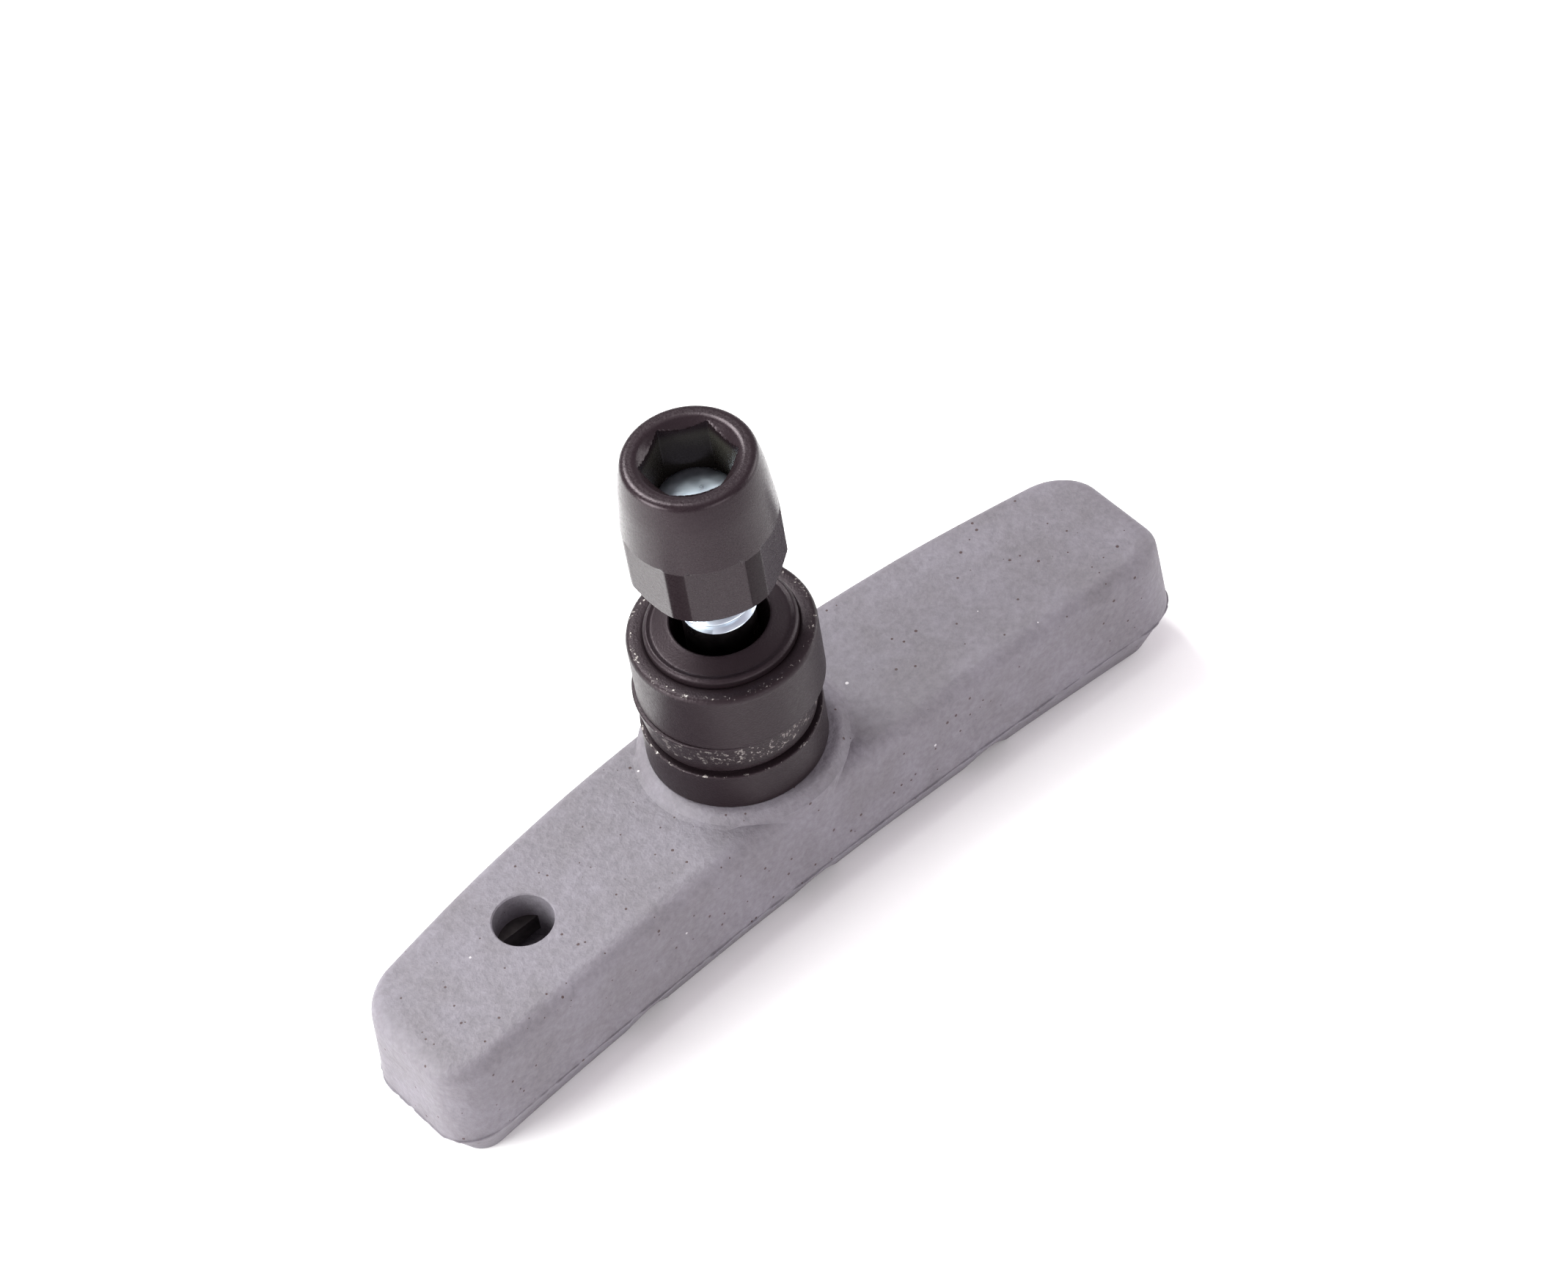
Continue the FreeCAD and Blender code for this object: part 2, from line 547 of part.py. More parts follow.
turn = FreeCAD.Rotation(FreeCAD.Vector(0, 0, 1), size("socket_turn"))
socketHex.Placement = FreeCAD.Placement(FreeCAD.Vector(0, 0, 0), turn)
socketHex.setExpression("Placement.Rotation.Angle", "Sizes.socket_turn")
socketHex.setExpression("Placement.Base.y", "Sizes.row_y")
socketHex.setExpression("Placement.Base.z", "Sizes.nut_top_z - Sizes.socket_deep")
nut = doc.addObject("Part::Cut", "barrel_nut")
nut.Base = nutFlats
nut.Tool = socketHex
nut.Label = "barrel_nut"
doc.recompute()

parts = [rubber, plate, stud, lowerCup, lowerDome, tallCup, upperDome, nut]
for thing in doc.Objects:
    state = [word for word in thing.State if word in ("Invalid", "Error")]
    if state:
        raise RuntimeError("%s is %s" % (thing.Name, state))
for part in parts:
    if part.Shape.isNull() or not part.Shape.isValid() or len(part.Shape.Solids) != 1:
        raise RuntimeError("%s has no single valid solid" % part.Label)
for part in parts:
    part.Shape.exportStep("parts/%s.step" % part.Label)
    box = part.Shape.BoundBox
    print(part.Label, "volume %.1f" % part.Shape.Volume,
          "x %.2f %.2f y %.2f %.2f z %.2f %.2f" % (box.XMin, box.XMax, box.YMin, box.YMax, box.ZMin, box.ZMax))
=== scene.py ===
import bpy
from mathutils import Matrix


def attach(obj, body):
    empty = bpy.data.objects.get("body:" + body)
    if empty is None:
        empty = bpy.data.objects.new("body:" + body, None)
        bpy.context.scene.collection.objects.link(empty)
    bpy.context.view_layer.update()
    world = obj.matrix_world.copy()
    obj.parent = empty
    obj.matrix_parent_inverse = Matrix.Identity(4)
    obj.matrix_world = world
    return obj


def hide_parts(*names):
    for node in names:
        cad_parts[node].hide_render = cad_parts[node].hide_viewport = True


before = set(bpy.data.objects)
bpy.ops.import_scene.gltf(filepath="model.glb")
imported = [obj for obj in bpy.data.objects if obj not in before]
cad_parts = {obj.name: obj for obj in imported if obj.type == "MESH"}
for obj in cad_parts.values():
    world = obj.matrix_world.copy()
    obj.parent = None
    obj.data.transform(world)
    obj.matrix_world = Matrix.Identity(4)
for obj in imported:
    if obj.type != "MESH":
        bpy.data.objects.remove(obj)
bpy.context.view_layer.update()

import math
import bmesh
import bpy
from mathutils import Matrix, Vector, noise

# shapes are built in millimetres and scaled to metres once, in finishPiece
mm = 0.001
studY = 0.61  # stud axis from the middle of the part
bossTop = 12.5  # above the braking face
weld = 0.0005  # vertices nearer than this become one
cutSlack = 0.0001  # vertices this near to a cut lie on it
noiseSpan = (0.3, 0.7)  # most values of a noise texture lie between these


def hexColour(text):
    # sRGB hex to the linear colour that a shader wants
    parts = [int(text[k:k + 2], 16) / 255 for k in (1, 3, 5)]
    linear = [p / 12.92 if p <= 0.04045 else ((p + 0.055) / 1.055) ** 2.4 for p in parts]
    return tuple(linear) + (1.0,)


def smooth(value, low, high):
    share = min(max((value - low) / (high - low), 0.0), 1.0)
    return share * share * (3 - 2 * share)


def addNode(tree, kind, settings, inputs):
    # settings are the node's own options; an input is a number, a colour or a socket to link from
    node = tree.nodes.new(kind)
    for key, value in settings.items():
        setattr(node, key, value)
    for key, value in inputs.items():
        if isinstance(value, bpy.types.NodeSocket):
            tree.links.new(value, node.inputs[key])
        else:
            node.inputs[key].default_value = value
    return node


def addNoise(tree, place, perMetre, detail, roughness=0.5):
    return addNode(tree, "ShaderNodeTexNoise", {}, {
        "Vector": place, "Scale": perMetre, "Detail": detail, "Roughness": roughness,
    }).outputs["Fac"]


def addMath(tree, operation, *values):
    inputs = dict(enumerate(values))
    return addNode(tree, "ShaderNodeMath", {"operation": operation}, inputs).outputs[0]


def addMix(tree, share, first, second):
    # each colour is a hex text or a socket
    pair = [hexColour(colour) if isinstance(colour, str) else colour for colour in (first, second)]
    return addNode(tree, "ShaderNodeMix", {"data_type": "RGBA"}, {
        "Factor": share, 6: pair[0], 7: pair[1]}).outputs[2]


def addRange(tree, value, span, result=(0.0, 1.0), shape="LINEAR"):
    return addNode(tree, "ShaderNodeMapRange", {"interpolation_type": shape}, {
        "Value": value, "From Min": span[0], "From Max": span[1],
        "To Min": result[0], "To Max": result[1]}).outputs["Result"]


def addBump(tree, shader, height, strength, depth):
    bump = addNode(tree, "ShaderNodeBump", {}, {
        "Height": height, "Strength": strength, "Distance": depth})
    tree.links.new(bump.outputs["Normal"], shader.inputs["Normal"])


def readAttribute(tree, name):
    return addNode(tree, "ShaderNodeAttribute", {"attribute_name": name}, {}).outputs["Fac"]


def newMaterial(name):
    material = bpy.data.materials.new(name)
    material.use_nodes = True
    tree = material.node_tree
    shader = tree.nodes["Principled BSDF"]
    place = addNode(tree, "ShaderNodeTexCoord", {}, {}).outputs["Object"]
    return material, tree, shader, place


# grey brake rubber, pressed in a mould: matt, finely grained, with dark and pale specks of filler
rubberLook = {
    "base": "#605b61",
    "pale": "#69646c",
    "speck": "#3a2a2c",
    "grit": "#a9a3a7",
    "mottle": 5.0,  # mm, size of the clouding
    "cloudSpan": (0.35, 0.68),
    "grain": 0.24,  # mm, size of the mould's spark grain
    "grainTone": (0.85, 1.13),  # darkest and lightest grain, as shares of the colour
    "speckCell": 0.8,  # mm between the filler specks
    "speckSize": 0.27,  # mm across at most, most of them far smaller
    "speckSpread": 1.4,  # a higher power makes more of them small
    "darkAbove": 0.2,  # a cell's chance value above this gives a dark speck
    "paleBelow": 0.03,  # and below this a pale one
    "pit": -1.5,  # dark specks lie this many grains deep
    "relief": 0.00016,  # m
    "bump": 0.6,
    "roughness": 0.62,
    "ior": 1.5,
    "specular": 0.35,
}


def makeRubber():
    look = rubberLook
    material, tree, shader, place = newMaterial("grey moulded rubber")
    mottle = addNoise(tree, place, 1000 / look["mottle"], 4.0, 0.6)
    body = addMix(tree, addRange(tree, mottle, look["cloudSpan"]), look["base"], look["pale"])
    grain = addNoise(tree, place, 1000 / look["grain"] / 2, 3.0, 0.65)
    grained = addNode(tree, "ShaderNodeVectorMath", {"operation": "SCALE"}, {
        0: body, "Scale": addRange(tree, grain, noiseSpan, look["grainTone"])}).outputs["Vector"]
    # one speck of its own size at the point of each Voronoi cell
    cells = addNode(tree, "ShaderNodeTexVoronoi", {}, {
        "Vector": place, "Scale": 1000 / look["speckCell"], "Randomness": 1.0})
    pick = addNode(tree, "ShaderNodeSeparateColor", {}, {"Color": cells.outputs["Color"]})
    spread = addMath(tree, "POWER", pick.outputs["Green"], look["speckSpread"])
    radius = addMath(tree, "MULTIPLY", spread, look["speckSize"] / 2 / look["speckCell"])
    inside = addMath(tree, "LESS_THAN", cells.outputs["Distance"], radius)
    dark = addMath(tree, "GREATER_THAN", pick.outputs["Red"], look["darkAbove"])
    darkHere = addMath(tree, "MULTIPLY", inside, dark)
    pale = addMath(tree, "LESS_THAN", pick.outputs["Red"], look["paleBelow"])
    paleHere = addMath(tree, "MULTIPLY", inside, pale)
    darkened = addMix(tree, darkHere, grained, look["speck"])
    tree.links.new(addMix(tree, paleHere, darkened, look["grit"]), shader.inputs["Base Color"])
    pitted = addMath(tree, "MULTIPLY_ADD", darkHere, look["pit"], grain)
    addBump(tree, shader, pitted, look["bump"], look["relief"])
    shader.inputs["Roughness"].default_value = look["roughness"]
    shader.inputs["IOR"].default_value = look["ior"]
    shader.inputs["Specular IOR Level"].default_value = look["specular"]
    return material


# steel with a black satin finish, rubbed through to bright metal where the corners are proud
blackLook = {
    "washer": {
        "base": "#171013",
        "metal": "#9a9491",
        "roughness": 0.42,
        "wornSpan": (0.86, 0.98),
        "bump": 0.5,
    },
    "nut": {
        "base": "#1a1316",
        "metal": "#8f8886",
        "roughness": 0.27,
        "wornSpan": (0.97, 1.2),
        "bump": 0.22,
        "inner": "#35332f",  # painted light: paler deep in the socket, standing in for light falling on its wall
        "cornerPaintedShade": 0.8,  # painted shade: the turned corners between the milled flats lose gloss, standing in for the dark reflection there
    },
    "sheen": "#d3c0ca",
    "specular": 0.34,
    "grit": 0.11,  # mm, size of the worn grains
    "patches": 1900.0,  # patches of wear to the metre, about half a millimetre each
    "patchShare": 0.6,
    "smoother": 0.07,  # roughness below and above the mean
    "rougher": 0.09,
    "grain": 0.07,  # mm, texture of the finish
    "wornRelief": 1.6,
    "relief": 0.00004,  # m
}


def makeBlack(name, look):
    material, tree, shader, place = newMaterial(name)
    grit = addNoise(tree, place, 1000 / blackLook["grit"] / 2, 3.0, 0.7)
    patch = addNoise(tree, place, blackLook["patches"], 2.0)
    chance = addMath(tree, "MULTIPLY_ADD", patch, blackLook["patchShare"], grit)
    amount = addMath(tree, "MULTIPLY", chance, readAttribute(tree, "worn"))
    bare = addRange(tree, amount, look["wornSpan"], shape="SMOOTHSTEP")
    tint = addMix(tree, bare, look["base"], look["metal"])
    # painted light: a paler colour deep in the socket stands in for light on its wall
    if "inner" in look:
        tint = addMix(tree, readAttribute(tree, "inner"), tint, look["inner"])
    tree.links.new(tint, shader.inputs["Base Color"])
    tree.links.new(bare, shader.inputs["Metallic"])
    rough = addRange(tree, grit, noiseSpan, (
        look["roughness"] - blackLook["smoother"], look["roughness"] + blackLook["rougher"]))
    tree.links.new(rough, shader.inputs["Roughness"])
    grain = addNoise(tree, place, 1000 / blackLook["grain"] / 2, 2.0)
    height = addMath(tree, "MULTIPLY_ADD", amount, blackLook["wornRelief"], grain)
    addBump(tree, shader, height, look["bump"], blackLook["relief"])
    shader.inputs["Specular Tint"].default_value = hexColour(blackLook["sheen"])
    shader.inputs["Specular IOR Level"].default_value = blackLook["specular"]
    # painted shade: marked corner strips reflect less, standing in for their dark reflection
    if "cornerPaintedShade" in look:
        gloss = addMath(tree, "MULTIPLY_ADD", readAttribute(tree, "turned"),
                        -look["cornerPaintedShade"] * blackLook["specular"], blackLook["specular"])
        tree.links.new(gloss, shader.inputs["Specular IOR Level"])
    return material


# zinc-plated steel: bright, slightly blue, faintly milky; painted shade darkens the plain shank
# below the thread
zincLook = {
    "shade": "#aebac8",
    "bright": "#cfd6df",
    # painted shade for the plain shank
    "shankShadeColour": "#2b2628",
    "patches": 900.0,  # milky patches to the metre, about a millimetre each
    "roughness": (0.26, 0.4),
}


def makeZinc():
    material, tree, shader, place = newMaterial("zinc plated steel")
    milky = addNoise(tree, place, zincLook["patches"], 4.0)
    tint = addMix(tree, milky, zincLook["shade"], zincLook["bright"])
    # painted shade: the marked shank is drawn dark
    shaded = addMix(tree, readAttribute(tree, "shankPaintedShade"), tint, zincLook["shankShadeColour"])
    tree.links.new(shaded, shader.inputs["Base Color"])
    rough = addRange(tree, milky, noiseSpan, zincLook["roughness"])
    tree.links.new(rough, shader.inputs["Roughness"])
    shader.inputs["Metallic"].default_value = 1.0
    return material


# pressed mild steel strip, dark with oil and rubber film
plateLook = {
    "film": "#2a2728",
    "steel": "#5d5757",
    "patches": 1500.0,  # patches of film to the metre
    "metallic": 0.8,
    "roughness": 0.42,
}


def makePlateSteel():
    material, tree, shader, place = newMaterial("oiled pressed steel")
    film = addNoise(tree, place, plateLook["patches"], 4.0)
    tint = addMix(tree, film, plateLook["film"], plateLook["steel"])
    tree.links.new(tint, shader.inputs["Base Color"])
    shader.inputs["Metallic"].default_value = plateLook["metallic"]
    shader.inputs["Roughness"].default_value = plateLook["roughness"]
    return material


rubber = makeRubber()
blackWasher = makeBlack("black oxide steel", blackLook["washer"])
blackNut = makeBlack("black satin steel", blackLook["nut"])
zinc = makeZinc()
plateSteel = makePlateSteel()
print("materials made")


def finishPiece(bm, name, material, node, sharp):
    # mm to metres, faces outwards, smooth except at corners sharper than this many degrees
    bmesh.ops.recalc_face_normals(bm, faces=bm.faces[:])
    bmesh.ops.scale(bm, vec=(mm, mm, mm), verts=bm.verts[:])
    for face in bm.faces:
        face.smooth = True
    mesh = bpy.data.meshes.new(name)
    bm.to_mesh(mesh)
    bm.free()
    mesh.set_sharp_from_angle(angle=math.radians(sharp))
    mesh.materials.append(material)
    piece = bpy.data.objects.new(name, mesh)
    bpy.context.scene.collection.objects.link(piece)
    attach(piece, "root")
    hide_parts(node)
    return piece


def latheProfile(profile, step):
    # profile: (radius, height, rounding) round a closed outline, cut to edges of about one step
    bm = bmesh.new()
    corners = [bm.verts.new((r, 0, z)) for r, z, rounding in profile]
    bm.faces.new(corners)
    for r, z, rounding in profile:
        if rounding:
            corner = min(bm.verts, key=lambda v: (v.co - Vector((r, 0, z))).length)
            bmesh.ops.bevel(bm, geom=[corner], offset=rounding, offset_type="OFFSET", segments=4,
                            profile=0.5, affect="VERTICES", material=-1)
    bmesh.ops.delete(bm, geom=bm.faces[:], context="FACES_ONLY")
    for edge in bm.edges[:]:
        cuts = int(edge.calc_length() / step)
        if cuts:
            bmesh.ops.subdivide_edges(bm, edges=[edge], cuts=cuts)
    return bm


def spinRound(bm, steps):
    bmesh.ops.spin(bm, geom=bm.verts[:] + bm.edges[:], cent=(0, 0, 0), axis=(0, 0, 1),
                   dvec=(0, 0, 0), angle=math.tau, steps=steps,
                   use_merge=True, use_duplicate=False)
    bmesh.ops.remove_doubles(bm, verts=bm.verts[:], dist=weld)
    bmesh.ops.recalc_face_normals(bm, faces=bm.faces[:])


def cutLevel(bm, geom, place, normal, slack=cutSlack, **clear):
    bmesh.ops.bisect_plane(bm, geom=geom, dist=slack, plane_co=place, plane_no=normal, **clear)


def everything(bm):
    return bm.verts[:] + bm.edges[:] + bm.faces[:]


def fromAxis(vert):
    return math.hypot(vert.co.x, vert.co.y)


def setRadius(vert, wanted):
    # moves a vertex straight out from the axis, or in
    r = fromAxis(vert)
    vert.co.x *= wanted / r
    vert.co.y *= wanted / r


def moveAll(bm, x, y, z=0):
    bmesh.ops.translate(bm, vec=(x, y, z), verts=bm.verts[:])


def markWorn(bm, places):
    # places: (radius, height, reach, strength) of the rings that are rubbed bright
    core = 0.3  # share of the reach that is fully worn
    layer = bm.verts.layers.float.new("worn")
    for vert in bm.verts:
        r = fromAxis(vert)
        amount = 0.0
        for ringR, ringZ, reach, strength in places:
            away = math.hypot(r - ringR, vert.co.z - ringZ)
            amount = max(amount, strength * (1 - smooth(away, reach * core, reach)))
        vert[layer] = amount


pad = {
    "halfLength": 35.0,
    "nearHalf": 8.0,  # stud axis to the hollow long edge
    "farHalf": 7.1,  # stud axis to the bowed long edge
    "nearBow": 474.0,
    "farBow": 140.0,
    "corner": 4.0,
    "backHeight": 11.7,
    "partingHeight": 4.2,
    "backDraft": 3.5,
    "faceDraft": 28.0,
    "backRounding": 1.3,
    "landRounding": 0.45,
    "landShare": 0.7,  # share of a full rounding that the lands' edges have
    "grooveSpacing": 16.6,
    "grooveWidth": 5.2,
    "grooveFloor": 0.9,
    "grooveDepth": 2.2,
    "grooveStraight": 0.55,  # the groove's walls are partly straight
    "grooveCurved": 0.45,  # and partly an S-curve
    "cornerCuts": 20,
    "endCuts": 24,
    "station": 0.25,  # between the cuts along the length
    "faceCuts": [0.02, 0.08, 0.18, 0.3, 0.45, 0.8, 1.2, 1.6, 2.0, 2.4, 2.8, 3.3, 3.8],
    "wallCuts": [4.6, 5.2, 6.2, 7.4, 8.6, 9.6, 10.2],
    "topInset": 0.3,
    "wave": 0.03,  # unevenness of the moulding
    "waveLength": 0.17,  # waves to the millimetre
}
flash = {
    "width": 0.2,
    "half": 0.08,  # half its thickness
    "raggedFine": 1.3,  # waves to the millimetre
    "raggedCoarse": 0.35,
    "torn": 0.9,
    "tornSpan": (0.12, 0.3),
    "tornLoss": 0.8,
    "least": 0.15,
}


def padInset(z):
    # how far the side stands in from the parting line at a height
    if z >= pad["partingHeight"]:
        inset = (z - pad["partingHeight"]) * math.tan(math.radians(pad["backDraft"]))
        rise = z - (pad["backHeight"] - pad["backRounding"])
        if rise > 0:
            across = math.sqrt(max(pad["backRounding"] ** 2 - rise ** 2, 0))
            inset += pad["backRounding"] - across
        return inset
    inset = (pad["partingHeight"] - z) * math.tan(math.radians(pad["faceDraft"]))
    drop = pad["landRounding"] - z
    if drop > 0:
        across = math.sqrt(pad["landRounding"] ** 2 - drop ** 2)
        inset += (pad["landRounding"] - across) * pad["landShare"]
    return inset


def grooveRise(x):
    # height of the cross grooves' surface above the braking face
    halfWidth = pad["grooveWidth"] / 2
    halfFloor = pad["grooveFloor"] / 2
    rise = 0.0
    for middle in (-pad["grooveSpacing"], 0.0, pad["grooveSpacing"]):
        away = abs(x - middle)
        if away < halfWidth:
            straight = min((halfWidth - away) / (halfWidth - halfFloor), 1.0)
            curved = 1 - smooth(away, halfFloor, halfWidth)
            rise = pad["grooveDepth"] * (
                pad["grooveStraight"] * straight + pad["grooveCurved"] * curved)
    return rise


def flashNoise(x, y, waves, sheet):
    return noise.noise(Vector((x * waves, y * waves, sheet)))


def flashOut(x, y):
    # ragged width of the moulding flash
    ragged = flashNoise(x, y, flash["raggedFine"], 3.1) * 0.5
    ragged += flashNoise(x, y, flash["raggedCoarse"], 7.7)
    torn = smooth(flashNoise(x, y, flash["torn"], 11.3), *flash["tornSpan"])
    width = flash["width"] * max(0.55 + 0.45 * ragged, flash["least"])
    return width * (1 - flash["tornLoss"] * torn)


def beyond(value, low, high):
    # how far a value lies outside a span, signed
    return value - min(max(value, low), high)


def padBlank():
    # block with rounded upright corners, cut along its length, across its ends and by height
    bm = bmesh.new()
    bmesh.ops.create_cube(bm, size=1)
    width = pad["nearHalf"] + pad["farHalf"]
    bmesh.ops.scale(bm, vec=(2 * pad["halfLength"], width, pad["backHeight"]), verts=bm.verts[:])
    moveAll(bm, 0, (pad["farHalf"] - pad["nearHalf"]) / 2, pad["backHeight"] / 2)
    upright = [e for e in bm.edges if abs(e.verts[0].co.z - e.verts[1].co.z) > 1]
    bmesh.ops.bevel(bm, geom=upright, offset=pad["corner"], offset_type="OFFSET",
                    segments=pad["cornerCuts"], profile=0.5, affect="EDGES", material=-1)
    reach = pad["halfLength"] - pad["corner"]
    count = int(2 * reach / pad["station"])
    for k in range(1, count):
        cutLevel(bm, everything(bm), (-reach + 2 * reach * k / count, 0, 0), (1, 0, 0))
    for side in (-1, 1):
        end = side * pad["halfLength"]
        for k in range(1, pad["endCuts"]):
            y = -pad["nearHalf"] + pad["corner"]
            y += (width - 2 * pad["corner"]) * k / pad["endCuts"]
            cap = [f for f in bm.faces if all(abs(v.co.x - end) < mm for v in f.verts)]
            geom = dict.fromkeys(cap)
            for f in cap:
                geom.update(dict.fromkeys(f.edges[:] + f.verts[:]))
            cutLevel(bm, list(geom), (0, y, 0), (0, 1, 0))
    parting = pad["partingHeight"]
    half = flash["half"]
    levels = pad["faceCuts"] + [parting - half, parting - half * 0.6]
    levels += [parting + half * 0.6, parting + half] + pad["wallCuts"]
    for k in range(1, 9):  # rings round the back's rounding, ten degrees apart
        levels.append(pad["backHeight"] - pad["backRounding"] * (1 - math.sin(k * math.pi / 18)))
    for z in levels:
        cutLevel(bm, everything(bm), (0, 0, z), (0, 0, 1))
    return bm


def buildPad():
    bm = padBlank()
    width = pad["nearHalf"] + pad["farHalf"]
    coreX = pad["halfLength"] - pad["corner"]
    coreLow = -pad["nearHalf"] + pad["corner"]
    coreHigh = pad["farHalf"] - pad["corner"]
    for vert in bm.verts:
        x, y, z = vert.co
        outX = beyond(x, -coreX, coreX) / pad["corner"]
        outY = beyond(y, coreLow, coreHigh) / pad["corner"]
        z = max(z, grooveRise(x))
        if abs(z - pad["partingHeight"]) < flash["half"] * 0.8:
            inset = -flashOut(x, y)
        else:
            inset = padInset(z)
        wave = noise.noise(Vector((x, y, z)) * pad["waveLength"]) * pad["wave"]
        x -= outX * (inset + wave)
        y -= outY * (inset + wave)
        share = (y + pad["nearHalf"]) / width
        bow = -x * x / 2 * ((1 - share) / pad["nearBow"] + share / pad["farBow"])
        vert.co = (x, y + bow, z)
    bmesh.ops.remove_doubles(bm, verts=bm.verts[:], dist=0.004)
    top = [f for f in bm.faces if all(abs(v.co.z - pad["backHeight"]) < mm for v in f.verts)]
    bmesh.ops.inset_region(bm, faces=top, thickness=pad["topInset"], use_even_offset=True,
                           use_boundary=True)
    moveAll(bm, 0, studY)
    bmesh.ops.recalc_face_normals(bm, faces=bm.faces[:])
    return bm


boss = {
    "topRadius": 7.2,
    "topRounding": 0.3,
    "baseRadius": 7.85,
    "footRadius": 8.0,
    "skirt": 0.35,  # thin skirt round the base that runs out into the back face
    "skirtStart": 0.2,  # below the back face
    "skirtLip": 0.004,  # above the back face, as is the next
    "skirtRise": 0.09,
    "sideIn": 0.46,  # the draft brings the pad's sides in by this at the back
    "skirtFade": (0.1, 0.9),  # distance from the pad's edge over which the skirt appears
    "middle": 0.5,  # radius left open for the spin and filled after it
    "around": 180,
}


def buildBoss():
    back = pad["backHeight"]
    foot = pad["partingHeight"] + 0.1
    bm = latheProfile([
        (boss["middle"], foot, 0),
        (boss["footRadius"], foot, 0),
        (boss["baseRadius"], back - boss["skirtStart"], 0),
        (boss["baseRadius"] + boss["skirt"], back + boss["skirtLip"], 0),
        (boss["baseRadius"], back + boss["skirtRise"], 0),
        (boss["topRadius"], bossTop, boss["topRounding"]),
        (boss["middle"], bossTop, 0),
    ], 0.5)
    spinRound(bm, boss["around"])
    inner = boss["baseRadius"] + 0.01
    for vert in bm.verts:
        r = fromAxis(vert)
        near = vert.co.y + pad["nearHalf"] - boss["sideIn"] - pad["backRounding"]
        far = pad["farHalf"] - boss["sideIn"] - pad["backRounding"] - vert.co.y
        kept = smooth(min(near, far), *boss["skirtFade"])
        if r > boss["baseRadius"] + 0.1 and vert.co.z > back - 0.1:
            setRadius(vert, inner + (r - inner) * kept)
    bmesh.ops.holes_fill(bm, edges=bm.edges[:], sides=400)
    moveAll(bm, 0, studY)
    bmesh.ops.recalc_face_normals(bm, faces=bm.faces[:])
    return bm


# round cut down past the steel plate, whose edge then shows across the hole
hole = {
    "x": -21.6,
    "y": -0.9,  # from the stud axis
    "radius": 2.27,
    "floor": 6.8,
    "lip": 0.1,
    "mouth": 1.0,  # the cutter widens above the back face
    "above": 0.9,
    "middle": 0.3,  # radius left open for the spin and closed after it
    "around": 96,
}


def buildHoleCutter():
    r = hole["radius"]
    top = pad["backHeight"]
    bm = latheProfile([
        (hole["middle"], hole["floor"], 0),
        (r, hole["floor"], 0),
        (r, top - hole["lip"], 0),
        (r + hole["lip"], top, 0),
        (r + hole["mouth"], top + hole["above"], 0),
        (hole["middle"], top + hole["above"], 0),
    ], 3.0)
    spinRound(bm, hole["around"])
    for vert in bm.verts:
        if fromAxis(vert) < hole["middle"] + 0.05:
            vert.co.x = 0
            vert.co.y = 0
    bmesh.ops.remove_doubles(bm, verts=bm.verts[:], dist=weld)
    bmesh.ops.delete(bm, geom=[e for e in bm.edges if not e.link_faces], context="EDGES")
    moveAll(bm, hole["x"], hole["y"] + studY)
    bmesh.ops.recalc_face_normals(bm, faces=bm.faces[:])
    return bm


def looseObject(bm, name):
    mesh = bpy.data.meshes.new(name)
    bm.to_mesh(mesh)
    bm.free()
    tool = bpy.data.objects.new(name, mesh)
    bpy.context.scene.collection.objects.link(tool)
    return tool


def joinShapes(base, steps):
    # boolean steps with their results kept; the tools are thrown away
    for tool, operation in steps:
        change = base.modifiers.new(operation, "BOOLEAN")
        change.operation = operation
        change.solver = "EXACT"
        change.object = tool
    shaped = base.evaluated_get(bpy.context.evaluated_depsgraph_get())
    bm = bmesh.new()
    bm.from_mesh(shaped.to_mesh())
    shaped.to_mesh_clear()
    for thing in [base] + [tool for tool, operation in steps]:
        mesh = thing.data
        bpy.data.objects.remove(thing)
        bpy.data.meshes.remove(mesh)
    return bm


padMesh = joinShapes(looseObject(buildPad(), "padBody"), [
    (looseObject(buildBoss(), "padBoss"), "UNION"),
    (looseObject(buildHoleCutter(), "padHole"), "DIFFERENCE"),
])
openEdges = [e for e in padMesh.edges if not e.is_manifold]
print("pad faces", len(padMesh.faces), "open edges", len(openEdges))
finishPiece(padMesh, "brake_rubber", rubber, "rubber_pad", 32)
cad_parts["backing_plate"].data.materials.clear()
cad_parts["backing_plate"].data.materials.append(plateSteel)
print("pad made")

stud = {
    "pitch": 1.0,
    "crest": 2.95,
    "crestEdge": 2.92,  # where the crest's rounding starts
    "root": 2.42,
    "runIn": 1.2,  # thread made below its visible start and cut off again
    "low": 27.5,
    "top": 39.0,
    "dome": 0.25,  # height of the end
    "tip": 2.85,  # radius of the end
    "tipTaper": 0.9,  # chamfer behind the end, radius gained for each mm down
    "threadSteps": 72,  # round one turn
    "shank": 2.65,
    "headRadius": 5.0,
    "headLow": 6.7,
    "headTop": 7.7,
    "around": 96,
    "shankShadeTop": 0.15,  # painted shade on the shank reaches this far above the thread's start
}


def addRod(bm, radius, depth, middle):
    rod = bmesh.ops.create_cone(bm, cap_ends=True, segments=stud["around"], radius1=radius,
                                radius2=radius, depth=depth)["verts"]
    bmesh.ops.translate(bm, vec=(0, 0, middle), verts=rod)


